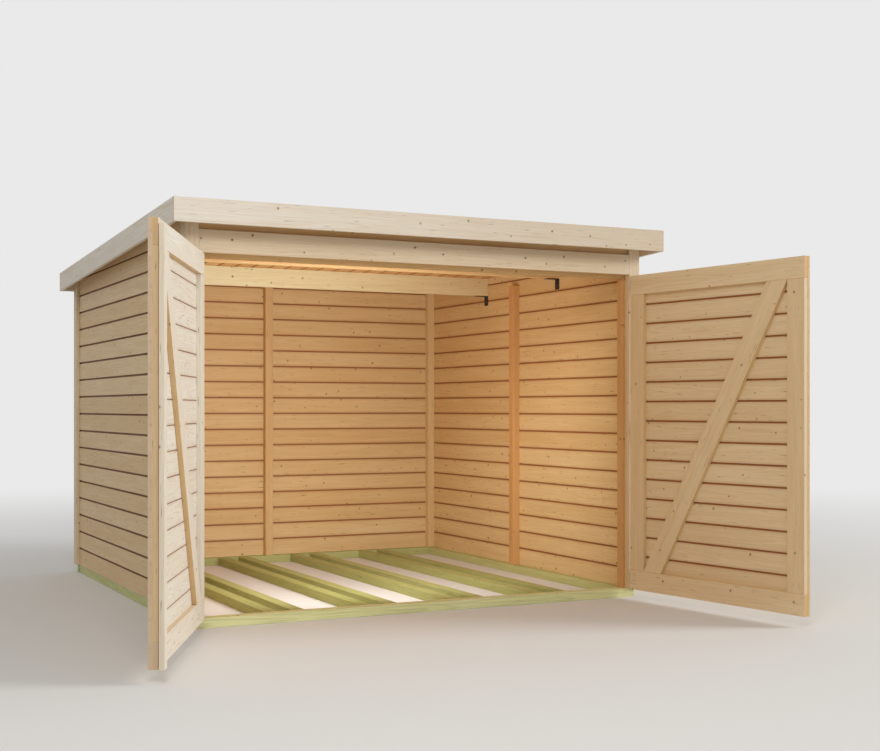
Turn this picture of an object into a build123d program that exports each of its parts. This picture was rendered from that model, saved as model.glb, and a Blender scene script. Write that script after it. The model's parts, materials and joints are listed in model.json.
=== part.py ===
from build123d import *
from math import cos, radians, sin, sqrt, tan
import os

# A timber bike shelter: three boarded walls, a pair of framed doors across the whole front,
# a pent roof that falls to the rear, and treated runners on the ground that guide the wheels.
# Millimetres. X runs along the front, Y from the front to the rear, Z up.
# The origin is on the ground, under the middle of the front sill.

# Base frame and wheel runners
base_width = 2640.0
base_depth = 2650.0
sill_width = 70.0
sill_height = 50.0
runner_width = 70.0
track_width = 75.0
track_pitch = 529.0
track_count = 4

# Walls and the posts inside them
board_thickness = 19.0
post_depth = 50.0
middle_post_width = 55.0
corner_post_width = 50.0
middle_post_gap = 100.0
front_trim_width = 69.0
side_trim_width = 79.0
trim_thickness = 22.0

# Door opening
head_drop = 201.0
lintel_board_height = 115.0
head_beam_height = 95.0
stop_projection = 20.0
stop_depth = 50.0

# Roof
front_eave_height = 2110.0
roof_pitch = 2.4
side_overhang = 111.0
front_overhang = 138.0
rear_clearance = 3.0
fascia_height = 120.0
fascia_thickness = 19.0
fascia_upstand = 24.0
deck_thickness = 19.0
felt_thickness = 3.0
rear_fascia_height = 95.0

# Purlins and the steel angles under their ends
purlin_thickness = 45.0
purlin_height = 120.0
front_purlin_place = 795.0
rear_purlin_place = 1738.0
bracket_width = 50.0
bracket_seat = 85.0
bracket_drop = 66.0
bracket_steel = 2.5

# Doors
door_clearance = 5.0
head_gap = 12.0
door_proud = 1.0
frame_thickness = 24.0
stile_width = 110.0
rail_width = 110.0
brace_width = 118.0
left_door_angle = 114.7
right_door_angle = 98.0
strip_width = 58.0
strip_reach = 22.0
strip_thickness = 28.0
strip_drop = 25.0

# Strap hinges, three to a door
pivot_outside = 22.0
pivot_front = 8.0
knuckle_radius = 6.5
pin_radius = 3.5
pin_clearance = 0.3
knuckle_clearance = 0.5
plate_width = 44.0
plate_height = 120.0
plate_steel = 3.0
plate_gap = 1.5
leaf_knuckle_height = 50.0
strap_length = 330.0
strap_root_width = 44.0
strap_tip_width = 26.0

# Worked-out places
front_y = -sill_width / 2
rear_y = front_y + base_depth
half_base = base_width / 2
inner_x = half_base - board_thickness
rear_inner_y = rear_y - board_thickness
trim_outer_x = half_base + trim_thickness
half_opening = trim_outer_x - front_trim_width
trim_front_y = front_y - trim_thickness
door_thickness = board_thickness + frame_thickness
stop_front_y = trim_front_y - door_proud + door_thickness + door_clearance
stop_back_y = stop_front_y + stop_depth
eave_front_y = front_y - front_overhang
eave_rear_y = rear_y + trim_thickness + rear_clearance
half_roof = half_base + side_overhang
half_deck = half_roof - fascia_thickness
deck_front_y = eave_front_y + fascia_thickness
fall = tan(radians(roof_pitch))
deck_drop = fascia_upstand + deck_thickness / cos(radians(roof_pitch))


def fascia_top(y):
    """Height of the fascia's top edge at a depth y."""
    return front_eave_height - (y - eave_front_y) * fall


def roof_height(y):
    """Height of the roof boards' underside at a depth y."""
    return fascia_top(y) - deck_drop


lintel_height = roof_height(front_y) - head_drop
door_bottom = sill_height + door_clearance
door_height = lintel_height - head_gap - door_bottom
door_width = half_opening - 1.5 * door_clearance
door_inner_out = door_proud - door_thickness
hinge_heights = [rail_width / 2, door_height / 2, door_height - rail_width / 2]


def save(piece, name):
    piece.label = name
    export_step(piece, f"parts/{name}.step")


def door_plane(side, angle, out):
    """Upright plane of a door: x from the pivot to the free edge, y up, out in front of the post."""
    pivot = Vector(side * (half_opening + pivot_outside), trim_front_y - pivot_front, 0)
    along = Vector(-side * cos(radians(angle)), -sin(radians(angle)), 0)
    plane = Plane(origin=pivot, x_dir=along, z_dir=along.cross(Vector(0, 0, 1)))
    return plane.offset(-side * (out - pivot_front))


os.makedirs("parts", exist_ok=True)
roof_plane = Plane(
    origin=(0, eave_front_y, roof_height(eave_front_y)),
    x_dir=(1, 0, 0),
    z_dir=(0, sin(radians(roof_pitch)), cos(radians(roof_pitch))),
)

# Base frame: front and rear sills over the full width, side sills and runners between them
for name, sill_y in (("front_sill", front_y), ("rear_sill", rear_y - sill_width)):
    with BuildPart() as sill:
        with BuildSketch(Plane.XY):
            with Locations((0, sill_y + sill_width / 2)):
                Rectangle(base_width, sill_width)
        extrude(amount=sill_height)
    save(sill.part, name)

run_start = front_y + sill_width
run_length = base_depth - 2 * sill_width
for name, side in (("left_sill", -1), ("right_sill", 1)):
    with BuildPart() as sill:
        with BuildSketch(Plane.XY):
            with Locations((side * (half_base - sill_width / 2), run_start + run_length / 2)):
                Rectangle(sill_width, run_length)
        extrude(amount=sill_height)
    save(sill.part, name)

for track in range(track_count):
    track_x = (track - (track_count - 1) / 2) * track_pitch
    with BuildPart() as runners:
        with BuildSketch(Plane.XY):
            with Locations((track_x, run_start + run_length / 2)):
                with GridLocations(runner_width + track_width, 0, 2, 1):
                    Rectangle(runner_width, run_length)
        extrude(amount=sill_height)
    save(runners.part, f"wheel_runners_{track + 1}")

# Boarded walls, from the sills up to the roof boards
for name, wall_x in (("left_wall", -half_base), ("right_wall", inner_x)):
    with BuildPart() as wall:
        with BuildSketch(Plane.YZ.offset(wall_x)):
            with BuildLine():
                Polyline(
                    (front_y, sill_height),
                    (rear_y, sill_height),
                    (rear_y, roof_height(rear_y)),
                    (front_y, roof_height(front_y)),
                    close=True,
                )
            make_face()
        extrude(amount=board_thickness)
    save(wall.part, name)

with BuildPart() as rear_wall:
    with BuildSketch(Plane.YZ.offset(-inner_x)):
        with BuildLine():
            Polyline(
                (rear_inner_y, sill_height),
                (rear_y, sill_height),
                (rear_y, roof_height(rear_y)),
                (rear_inner_y, roof_height(rear_inner_y)),
                close=True,
            )
        make_face()
    extrude(amount=2 * inner_x)
save(rear_wall.part, "rear_wall")

# Posts inside the walls: one in each rear corner and one in the middle of each wall
for name, side in (("left_rear_post", -1), ("right_rear_post", 1)):
    with BuildPart() as post:
        with BuildSketch(Plane.XY.offset(sill_height)):
            with Locations((side * (inner_x - corner_post_width / 2), rear_inner_y - post_depth / 2)):
                Rectangle(corner_post_width, post_depth)
        extrude(amount=front_eave_height)
        split(bisect_by=roof_plane, keep=Keep.BOTTOM)
    save(post.part, name)

middle_y = (front_y + rear_y) / 2
for name, side in (("left_middle_post", -1), ("right_middle_post", 1)):
    with BuildPart() as post:
        with BuildSketch(Plane.XY.offset(sill_height)):
            with Locations((side * (inner_x - post_depth / 2), middle_y)):
                Rectangle(post_depth, middle_post_width)
        extrude(amount=roof_height(middle_y) - middle_post_gap - sill_height)
    save(post.part, name)

with BuildPart() as rear_middle_post:
    with BuildSketch(Plane.XY.offset(sill_height)):
        with Locations((0, rear_inner_y - post_depth / 2)):
            Rectangle(middle_post_width, post_depth)
    extrude(amount=front_eave_height)
    split(bisect_by=roof_plane, keep=Keep.BOTTOM)
save(rear_middle_post.part, "rear_middle_post")

# Door opening: posts, a header up to the roof boards with the lintel board on its face,
# and behind them the head beam and jamb stops that the doors close against
for name, side in (("left_front_post", -1), ("right_front_post", 1)):
    with BuildPart() as post:
        with BuildSketch(Plane.XY.offset(sill_height)):
            with Locations((side * (half_opening + inner_x) / 2, (front_y + stop_back_y) / 2)):
                Rectangle(inner_x - half_opening, stop_back_y - front_y)
        extrude(amount=front_eave_height)
        split(bisect_by=roof_plane, keep=Keep.BOTTOM)
    save(post.part, name)

with BuildPart() as door_header:
    with BuildSketch(Plane.XY.offset(lintel_height)):
        with Locations((0, (front_y + stop_front_y) / 2)):
            Rectangle(2 * half_opening, stop_front_y - front_y)
    extrude(amount=front_eave_height)
    split(bisect_by=roof_plane, keep=Keep.BOTTOM)
save(door_header.part, "door_header")

with BuildPart() as front_lintel:
    with BuildSketch(Plane.XY.offset(lintel_height)):
        with Locations((0, front_y - trim_thickness / 2)):
            Rectangle(2 * half_opening, trim_thickness)
    extrude(amount=lintel_board_height)
save(front_lintel.part, "front_lintel")

with BuildPart() as head_stop:
    with BuildSketch(Plane.XY.offset(lintel_height - stop_projection)):
        with Locations((0, stop_front_y + stop_depth / 2)):
            Rectangle(2 * half_opening, stop_depth)
    extrude(amount=head_beam_height)
save(head_stop.part, "head_stop")

with BuildPart() as jamb_stops:
    with BuildSketch(Plane.XY.offset(sill_height)):
        with Locations((0, stop_front_y + stop_depth / 2)):
            with GridLocations(2 * half_opening - stop_projection, 0, 2, 1):
                Rectangle(stop_projection, stop_depth)
    extrude(amount=lintel_height - stop_projection - sill_height)
save(jamb_stops.part, "jamb_stops")

# Corner trims, each an angle of two boards over the ends of the wall boards
for row, wall_y, away in (("front", front_y, -1), ("rear", rear_y, 1)):
    for column, side in (("left", -1), ("right", 1)):
        with BuildPart() as trim:
            with BuildSketch(Plane.XY.offset(sill_height)):
                face_x = side * (trim_outer_x - front_trim_width / 2)
                with Locations((face_x, wall_y + away * trim_thickness / 2)):
                    Rectangle(front_trim_width, trim_thickness)
                leg_y = wall_y - away * (side_trim_width - trim_thickness) / 2
                with Locations((side * (half_base + trim_thickness / 2), leg_y)):
                    Rectangle(trim_thickness, side_trim_width - trim_thickness)
            extrude(amount=front_eave_height)
            split(bisect_by=roof_plane, keep=Keep.BOTTOM)
        save(trim.part, f"{row}_{column}_corner_trim")

# Purlins with tops that follow the roof, and the angles that hold them to the side walls
for name, place in (("front_purlin", front_purlin_place), ("rear_purlin", rear_purlin_place)):
    purlin_y = front_y + place
    purlin_bottom = roof_height(purlin_y) - purlin_height
    with BuildPart() as purlin:
        with BuildSketch(Plane.YZ.offset(-inner_x)):
            with BuildLine():
                Polyline(
                    (purlin_y, purlin_bottom),
                    (purlin_y + purlin_thickness, purlin_bottom),
                    (purlin_y + purlin_thickness, roof_height(purlin_y + purlin_thickness)),
                    (purlin_y, roof_height(purlin_y)),
                    close=True,
                )
            make_face()
        extrude(amount=2 * inner_x)
    save(purlin.part, name)

with BuildPart() as purlin_brackets:
    for place in (front_purlin_place, rear_purlin_place):
        purlin_y = front_y + place
        seat_z = roof_height(purlin_y) - purlin_height
        for side in (-1, 1):
            plane = Plane.XZ.offset(-(purlin_y + (purlin_thickness + bracket_width) / 2))
            with BuildSketch(plane):
                with BuildLine():
                    Polyline(
                        (side * inner_x, seat_z),
                        (side * (inner_x - bracket_seat), seat_z),
                        (side * (inner_x - bracket_seat), seat_z - bracket_steel),
                        (side * (inner_x - bracket_steel), seat_z - bracket_steel),
                        (side * (inner_x - bracket_steel), seat_z - bracket_drop),
                        (side * inner_x, seat_z - bracket_drop),
                        close=True,
                    )
                make_face()
            extrude(amount=bracket_width)
save(purlin_brackets.part, "purlin_brackets")

# Roof: boards, felt, and fascias that stand above the felt at the front and sides
with BuildPart() as roof_deck:
    with BuildSketch(Plane.YZ.offset(-half_deck)):
        with BuildLine():
            Polyline(
                (deck_front_y, roof_height(deck_front_y)),
                (eave_rear_y, roof_height(eave_rear_y)),
                (eave_rear_y, fascia_top(eave_rear_y) - fascia_upstand),
                (deck_front_y, fascia_top(deck_front_y) - fascia_upstand),
                close=True,
            )
        make_face()
    extrude(amount=2 * half_deck)
save(roof_deck.part, "roof_deck")

with BuildPart() as roof_felt:
    felt_rear_y = eave_rear_y + fascia_thickness
    with BuildSketch(Plane.YZ.offset(-half_deck)):
        with BuildLine():
            Polyline(
                (deck_front_y, fascia_top(deck_front_y) - fascia_upstand),
                (felt_rear_y, fascia_top(felt_rear_y) - fascia_upstand),
                (felt_rear_y, fascia_top(felt_rear_y) - fascia_upstand + felt_thickness),
                (deck_front_y, fascia_top(deck_front_y) - fascia_upstand + felt_thickness),
                close=True,
            )
        make_face()
    extrude(amount=2 * half_deck)
save(roof_felt.part, "roof_felt")

with BuildPart() as front_fascia:
    with BuildSketch(Plane.XY.offset(front_eave_height - fascia_height)):
        with Locations((0, eave_front_y + fascia_thickness / 2)):
            Rectangle(2 * half_roof, fascia_thickness)
    extrude(amount=fascia_height)
save(front_fascia.part, "front_fascia")

for name, fascia_x in (("left_fascia", -half_roof), ("right_fascia", half_deck)):
    with BuildPart() as fascia:
        with BuildSketch(Plane.YZ.offset(fascia_x)):
            with BuildLine():
                Polyline(
                    (deck_front_y, fascia_top(deck_front_y) - fascia_height),
                    (felt_rear_y, fascia_top(felt_rear_y) - fascia_height),
                    (felt_rear_y, fascia_top(felt_rear_y)),
                    (deck_front_y, fascia_top(deck_front_y)),
                    close=True,
                )
            make_face()
        extrude(amount=fascia_thickness)
    save(fascia.part, name)

with BuildPart() as rear_fascia:
    with BuildSketch(Plane.YZ.offset(-half_deck)):
        with BuildLine():
            Polyline(
                (eave_rear_y, fascia_top(eave_rear_y) - fascia_upstand),
                (felt_rear_y, fascia_top(felt_rear_y) - fascia_upstand),
                (felt_rear_y, fascia_top(felt_rear_y) - fascia_upstand - rear_fascia_height),
                (eave_rear_y, fascia_top(felt_rear_y) - fascia_upstand - rear_fascia_height),
                close=True,
            )
        make_face()
    extrude(amount=2 * half_deck)
save(rear_fascia.part, "rear_fascia")


# Doors: horizontal boards outside, and inside them two rails over the full width,
# with stiles and a brace between the rails
hinge_edge = pivot_outside + door_clearance
free_edge = hinge_edge + door_width
door_middle = (hinge_edge + free_edge) / 2
door_top = door_bottom + door_height


def make_door(side, angle, name):
    board_face = door_plane(side, angle, door_proud)
    frame_face = door_plane(side, angle, door_proud - board_thickness)

    with BuildPart() as panel:
        with BuildSketch(board_face):
            with Locations((door_middle, door_bottom + door_height / 2)):
                Rectangle(door_width, door_height)
        extrude(amount=side * board_thickness)
    save(panel.part, f"{name}_boards")

    with BuildPart() as rails:
        with BuildSketch(frame_face):
            with Locations((door_middle, door_bottom + door_height / 2)):
                with GridLocations(0, door_height - rail_width, 1, 2):
                    Rectangle(door_width, rail_width)
        extrude(amount=side * frame_thickness)
    save(rails.part, f"{name}_rails")

    clear_height = door_height - 2 * rail_width
    with BuildPart() as stiles:
        with BuildSketch(frame_face):
            with Locations((door_middle, door_bottom + door_height / 2)):
                with GridLocations(door_width - stile_width, 0, 2, 1):
                    Rectangle(stile_width, clear_height)
        extrude(amount=side * frame_thickness)
    save(stiles.part, f"{name}_stiles")

    # The brace fills both corners: from the hinge side's lower one to the free side's upper one.
    clear_width = door_width - 2 * stile_width
    brace_reach = sqrt(clear_height ** 2 + clear_width ** 2 - brace_width ** 2)
    brace_foot = brace_width * (clear_height * brace_reach - brace_width * clear_width)
    brace_foot /= clear_height ** 2 - brace_width ** 2
    low = door_bottom + rail_width
    high = low + clear_height
    near = hinge_edge + stile_width
    far = near + clear_width
    with BuildPart() as brace:
        with BuildSketch(frame_face):
            with BuildLine():
                Polyline(
                    (near, low),
                    (near + brace_foot, low),
                    (far, high),
                    (far - brace_foot, high),
                    close=True,
                )
            make_face()
        extrude(amount=side * frame_thickness)
    save(brace.part, f"{name}_brace")


make_door(-1, left_door_angle, "left_door")
make_door(1, right_door_angle, "right_door")

# Closing strip on the left door's free edge, rebated where the right door closes over it
strip_height = door_height - strip_drop
with BuildPart() as strip:
    with BuildSketch(door_plane(-1, left_door_angle, door_inner_out)):
        with Locations((free_edge + strip_reach - strip_width / 2, door_bottom + strip_height / 2)):
            Rectangle(strip_width, strip_height)
    extrude(amount=-strip_thickness)
    with BuildSketch(door_plane(-1, left_door_angle, door_inner_out)):
        with Locations((free_edge + strip_reach / 2, door_bottom + strip_height / 2)):
            Rectangle(strip_reach, strip_height)
    extrude(amount=-door_clearance, mode=Mode.SUBTRACT)
save(strip.part, "left_door_closing_strip")

# Strap hinges: a plate with the pin on the post, a tapered strap with the bored knuckle on the door
knuckle_gap = leaf_knuckle_height / 2 + knuckle_clearance
outer_knuckle_height = plate_height / 2 - knuckle_gap
plate_inner = knuckle_radius + plate_gap


def make_post_hinges(side, name):
    pivot_x = side * (half_opening + pivot_outside)
    pivot_y = trim_front_y - pivot_front
    with BuildPart() as hinges:
        for height in hinge_heights:
            middle = door_bottom + height
            with BuildSketch(door_plane(side, 0, 0)):
                with Locations((-(plate_inner + plate_width) / 2, middle)):
                    Rectangle(plate_width - plate_inner, plate_height)
                with Locations((-plate_inner / 2, middle)):
                    with GridLocations(0, plate_height - outer_knuckle_height, 1, 2):
                        Rectangle(plate_inner, outer_knuckle_height)
            extrude(amount=-side * plate_steel)
            for knuckle_z in (middle - plate_height / 2, middle + knuckle_gap):
                with BuildSketch(Plane.XY.offset(knuckle_z)):
                    with Locations((pivot_x, pivot_y)):
                        Circle(knuckle_radius)
                extrude(amount=outer_knuckle_height)
            with BuildSketch(Plane.XY.offset(middle - plate_height / 2)):
                with Locations((pivot_x, pivot_y)):
                    Circle(pin_radius)
            extrude(amount=plate_height)
    save(hinges.part, name)


def make_door_hinges(side, angle, name):
    pivot_x = side * (half_opening + pivot_outside)
    pivot_y = trim_front_y - pivot_front
    tip_radius = strap_tip_width / 2
    with BuildPart() as hinges:
        for height in hinge_heights:
            middle = door_bottom + height
            with BuildSketch(door_plane(side, angle, door_proud)):
                with BuildLine():
                    Polyline(
                        (plate_inner, middle - strap_root_width / 2),
                        (strap_length - tip_radius, middle - tip_radius),
                        (strap_length - tip_radius, middle + tip_radius),
                        (plate_inner, middle + strap_root_width / 2),
                        close=True,
                    )
                make_face()
                with Locations((strap_length - tip_radius, middle)):
                    Circle(tip_radius)
                with Locations((plate_inner / 2, middle)):
                    Rectangle(plate_inner, leaf_knuckle_height - 2 * knuckle_clearance)
            extrude(amount=-side * plate_steel)
            with BuildSketch(Plane.XY.offset(middle - leaf_knuckle_height / 2)):
                with Locations((pivot_x, pivot_y)):
                    Circle(knuckle_radius)
            extrude(amount=leaf_knuckle_height)
            with BuildSketch(Plane.XY.offset(middle - leaf_knuckle_height / 2)):
                with Locations((pivot_x, pivot_y)):
                    Circle(pin_radius + pin_clearance)
            extrude(amount=leaf_knuckle_height, mode=Mode.SUBTRACT)
    save(hinges.part, name)


make_post_hinges(-1, "left_post_hinges")
make_post_hinges(1, "right_post_hinges")
make_door_hinges(-1, left_door_angle, "left_door_hinges")
make_door_hinges(1, right_door_angle, "right_door_hinges")
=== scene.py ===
import bpy
import json
import math
import numpy as np
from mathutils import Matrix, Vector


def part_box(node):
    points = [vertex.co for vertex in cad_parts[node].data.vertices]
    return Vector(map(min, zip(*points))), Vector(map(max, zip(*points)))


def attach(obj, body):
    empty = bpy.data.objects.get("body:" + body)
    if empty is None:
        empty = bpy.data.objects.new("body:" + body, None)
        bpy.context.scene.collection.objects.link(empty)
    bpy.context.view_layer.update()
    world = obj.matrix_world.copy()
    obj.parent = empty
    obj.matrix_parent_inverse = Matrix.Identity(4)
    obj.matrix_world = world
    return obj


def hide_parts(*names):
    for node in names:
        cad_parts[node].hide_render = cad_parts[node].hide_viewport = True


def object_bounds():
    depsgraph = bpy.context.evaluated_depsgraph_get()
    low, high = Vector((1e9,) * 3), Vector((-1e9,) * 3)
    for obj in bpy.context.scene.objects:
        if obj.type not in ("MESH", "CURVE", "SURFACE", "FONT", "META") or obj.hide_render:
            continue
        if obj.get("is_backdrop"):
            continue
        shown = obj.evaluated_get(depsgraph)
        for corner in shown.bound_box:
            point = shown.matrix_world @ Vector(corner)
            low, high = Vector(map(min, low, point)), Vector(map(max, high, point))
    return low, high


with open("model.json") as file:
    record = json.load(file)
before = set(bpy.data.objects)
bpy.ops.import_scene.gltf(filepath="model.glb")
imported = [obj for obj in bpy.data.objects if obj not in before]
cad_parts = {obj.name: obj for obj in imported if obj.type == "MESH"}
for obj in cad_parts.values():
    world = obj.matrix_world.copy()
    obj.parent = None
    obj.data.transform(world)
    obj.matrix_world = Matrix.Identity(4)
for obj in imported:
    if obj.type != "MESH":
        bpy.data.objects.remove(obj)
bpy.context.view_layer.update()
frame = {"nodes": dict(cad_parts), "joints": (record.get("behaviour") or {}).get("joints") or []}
chance = np.random.default_rng(11)  # one seed, so every run gives the same boards
xAxis, yAxis, zAxis = np.eye(3)


def nodeBox(node):  # lowest and highest corner of a CAD node at rest, as arrays
    low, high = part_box(node)
    return np.array(low), np.array(high)


# Sizes that several pieces share, in metres, most of them read from the frame
fasciaLow, fasciaHigh = nodeBox("front_fascia")
wallLow, wallHigh = nodeBox("left_wall")
rearLow, rearHigh = nodeBox("rear_wall")
shed = {
    "wallCover": 0.1115,  # width that one wall board covers, joint to joint
    "ease": 0.0018,  # planed arris
    "fasciaUpstand": 0.024,
    "leastStrip": 0.004,  # no board is cut narrower
    "runnerWidth": 0.070,
    "jambStopWidth": 0.020,
    "boardThickness": wallHigh[0] - wallLow[0],
    "sillTop": wallLow[2],
    "eaveFrontY": fasciaLow[1],
    "eaveTop": fasciaHigh[2],
    "fasciaThickness": fasciaHigh[1] - fasciaLow[1],
    "fasciaHeight": fasciaHigh[2] - fasciaLow[2],
    "trimThickness": wallLow[0] - nodeBox("front_left_corner_trim")[0][0],
}
# the side fascia's box is as tall as the board and its fall over the roof's depth together
sideLow, sideHigh = nodeBox("left_fascia")
fall = (sideHigh[2] - sideLow[2] - shed["fasciaHeight"]) / (sideHigh[1] - sideLow[1])
pitchCos, pitchSin = math.cos(math.atan(fall)), math.sin(math.atan(fall))


# Node tools and finishes

def linear(hexColour):
    # sRGB hex to linear: c / 12.92 near black, else ((c + 0.055) / 1.055) to the power 2.4
    c = np.array([int(hexColour[i:i + 2], 16) for i in (1, 3, 5)]) / 255
    return (*np.where(c <= 0.04045, c / 12.92, ((c + 0.055) / 1.055) ** 2.4).tolist(), 1.0)


def addNode(tree, kind, inputs=None, stops=None, **settings):
    # one node with its settings, a colour ramp's stops, and its inputs: each is a value, an output to
    # link, or a node, whose first output is linked
    node = tree.nodes.new("ShaderNode" + kind)
    for key, value in settings.items():
        setattr(node, key, value)
    if stops:
        for place, colour in stops[2:]:
            node.color_ramp.elements.new(place)
        for element, (place, colour) in zip(node.color_ramp.elements, stops):
            element.position = place
            element.color = linear(colour) if isinstance(colour, str) else colour
    for key, value in (inputs or {}).items():
        if isinstance(value, bpy.types.Node):
            value = value.outputs[0]
        if isinstance(value, bpy.types.NodeSocket):
            tree.links.new(value, node.inputs[key])
        else:
            node.inputs[key].default_value = value
    return node


def newMaterial(name):
    material = bpy.data.materials.new(name)
    material.use_nodes = True
    material.node_tree.nodes.clear()
    return material, material.node_tree


def finishMaterial(material, surface):
    addNode(material.node_tree, "OutputMaterial", {"Surface": surface})
    return material


# What every batch of softwood shares. A scale is cycles a metre along, across and through the board.
softwood = {
    "swayScale": (1.6, 5.0, 5.0), "sway": (0.0, 0.030, 0.030),  # how far the heart wanders, in metres
    "trunkTaper": 0.012, "bendRoundKnot": 0.010,
    "coreFade": (0.75, 1.1), "haloFade": (0.8, 2.6), "leastKnot": 0.55,  # fades in knot radii
    "fibreScale": (3.0, 170.0, 170.0), "fibreFade": (0.42, 0.68),
    "fleckScale": (16.0, 260.0, 260.0), "fleckFade": (0.76, 0.85),
    "cloudScale": (1.1, 16.0, 16.0), "cloudShare": 1.1, "boardShare": 0.42, "palest": -0.26,
    "haloTint": 0.14, "coreTint": 0.85, "endTint": 0.35, "jointTint": 1.76,
    "lateProud": 0.5, "relief": 0.0007, "reliefStrength": 0.35, "roughFade": (0.3, 0.7),
}


# Softwood, sawn and planed. The eye sees an even, warm surface with faint grain along the board,
# boards that differ a little, small dark knots with short dark flecks, and dark joints. Painted light
# makes the faces paler and greyer where light falls strongly and warmer in shade, and painted shade
# browns the inner faces beside the joints.
def makeSoftwood(name, look):
    material, tree = newMaterial(name)
    w = softwood
    read = {key: addNode(tree, "Attribute", attribute_name=key).outputs
            for key in ("grain", "tone", "cut", "jointAndShade", "paintedLight")}
    place = read["grain"]["Vector"]

    # The heart of the tree wanders, a few millimetres over half a metre
    slow = addNode(tree, "VectorMath", {0: place, 1: w["swayScale"]}, operation="MULTIPLY")
    sway = addNode(tree, "TexNoise", {"Vector": slow, "Scale": 1.0, "Detail": 2.0})
    sway = addNode(tree, "VectorMath", {0: sway.outputs["Color"], 1: (0.5, 0.5, 0.5)}, operation="SUBTRACT")
    sway = addNode(tree, "VectorMath", {0: sway, 1: w["sway"]}, operation="MULTIPLY")
    bent = addNode(tree, "VectorMath", {0: place, 1: sway}, operation="ADD")
    parts = addNode(tree, "SeparateXYZ", {"Vector": bent})
    spoke = addNode(tree, "VectorMath", {0: bent, 1: (0.0, 1.0, 1.0)}, operation="MULTIPLY")
    radius = addNode(tree, "VectorMath", {0: spoke}, operation="LENGTH")

    # Knots: one seed point to a cell, kept in a share of the cells, each of its own size. They run
    # aslant through the timber, so that they are round on its edges too.
    spot = addNode(tree, "SeparateXYZ", {"Vector": place})
    aslant = addNode(tree, "Math", {0: spot.outputs[1], 1: spot.outputs[2]}, operation="ADD")
    spot = addNode(tree, "CombineXYZ", {0: spot.outputs[0], 1: aslant})
    spots = addNode(tree, "TexVoronoi", {"Vector": spot.outputs[0], "Scale": 1 / look["knotCell"]},
                    voronoi_dimensions="2D")
    luck = addNode(tree, "SeparateXYZ", {"Vector": spots.outputs["Color"]})
    kept = addNode(tree, "Math", {0: luck.outputs[0], 1: look["knotShare"]}, operation="LESS_THAN")
    size = addNode(tree, "MapRange", {"Value": luck.outputs[1],
                                      "To Min": look["knotSmall"] / look["knotCell"],
                                      "To Max": look["knotLarge"] / look["knotCell"]})
    reach = addNode(tree, "Math", {0: spots.outputs["Distance"], 1: size}, operation="DIVIDE")
    depth = addNode(tree, "MapRange", {"Value": luck.outputs[2], "To Min": w["leastKnot"]})
    core, halo = (addNode(tree, "MapRange",
                          {"Value": reach, "From Min": inside, "From Max": outside,
                           "To Min": 1.0, "To Max": 0.0}, interpolation_type="SMOOTHSTEP")
                  for inside, outside in (w["coreFade"], w["haloFade"]))
    core = addNode(tree, "Math", {0: core, 1: kept}, operation="MULTIPLY")
    core = addNode(tree, "Math", {0: core, 1: depth}, operation="MULTIPLY")
    halo = addNode(tree, "Math", {0: halo, 1: kept}, operation="MULTIPLY")

    # Growth rings: distance from the heart, a little taper along the trunk, bent round each knot.
    # Real rings are 2 to 3 mm; these are 6 mm, so that they still show at the picture's scale.
    grown = addNode(tree, "Math", {0: parts.outputs[0], 1: w["trunkTaper"], 2: radius.outputs["Value"]},
                    operation="MULTIPLY_ADD")
    grown = addNode(tree, "Math", {0: halo, 1: w["bendRoundKnot"], 2: grown}, operation="MULTIPLY_ADD")
    count = addNode(tree, "Math", {0: grown, 1: look["ringWidth"]}, operation="DIVIDE")
    ring = addNode(tree, "Math", {0: count}, operation="FRACT")
    late = addNode(tree, "ValToRGB", {"Fac": ring},
                   stops=[(0.0, (0, 0, 0, 1)), (0.45, (0.12, 0.12, 0.12, 1)), (0.86, (1, 1, 1, 1)),
                          (1.0, (0.05, 0.05, 0.05, 1))])
    lines = addNode(tree, "Math", {0: late, 1: look["ringStrength"]}, operation="MULTIPLY")

    # Fibres: streaks some 6 mm wide and 300 mm long. Real ones are under a millimetre wide.
    fine = addNode(tree, "VectorMath", {0: bent, 1: w["fibreScale"]}, operation="MULTIPLY")
    fibre = addNode(tree, "TexNoise", {"Vector": fine, "Scale": 1.0, "Detail": 3.0, "Roughness": 0.6})
    streak = addNode(tree, "MapRange", {"Value": fibre, "From Min": w["fibreFade"][0],
                                        "From Max": w["fibreFade"][1],
                                        "To Max": look["fibreStrength"]})
    streaks = addNode(tree, "Math", {0: lines, 1: streak}, operation="ADD", use_clamp=True)

    # Flecks: dark dashes some 3 mm thick and 50 mm long, where a stretched noise is at its highest
    thin = addNode(tree, "VectorMath", {0: place, 1: w["fleckScale"]}, operation="MULTIPLY")
    fleck = addNode(tree, "TexNoise", {"Vector": thin, "Scale": 1.0, "Detail": 0.0})
    fleck = addNode(tree, "MapRange", {"Value": fleck, "From Min": w["fleckFade"][0],
                                       "From Max": w["fleckFade"][1],
                                       "To Max": look["fleckStrength"]})

    # The board's own colour, from pale to warm: its tone and slow clouds; over it painted light, paler and
    # greyer where light falls strongly
    broad = addNode(tree, "VectorMath", {0: place, 1: w["cloudScale"]}, operation="MULTIPLY")
    cloud = addNode(tree, "TexNoise", {"Vector": broad, "Scale": 1.0, "Detail": 2.0})
    shade = addNode(tree, "Math", {0: read["tone"]["Fac"], 1: w["boardShare"], 2: w["palest"]},
                    operation="MULTIPLY_ADD")
    shade = addNode(tree, "Math", {0: cloud, 1: w["cloudShare"], 2: shade}, operation="MULTIPLY_ADD",
                    use_clamp=True)
    body = addNode(tree, "ValToRGB", {"Fac": shade},
                   stops=[(0.0, look["pale"]), (1.0, look["warm"]), (0.5, look["middle"])])
    # the lit colours: painted light, mixed in below by the share of painted light
    litColour = addNode(tree, "ValToRGB", {"Fac": shade},
                    stops=[(0.0, look["litPale"]), (1.0, look["litWarm"])])
    colour = addNode(tree, "Mix", {"Factor": read["paintedLight"]["Fac"], "A": body, "B": litColour}, data_type="RGBA")
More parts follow.
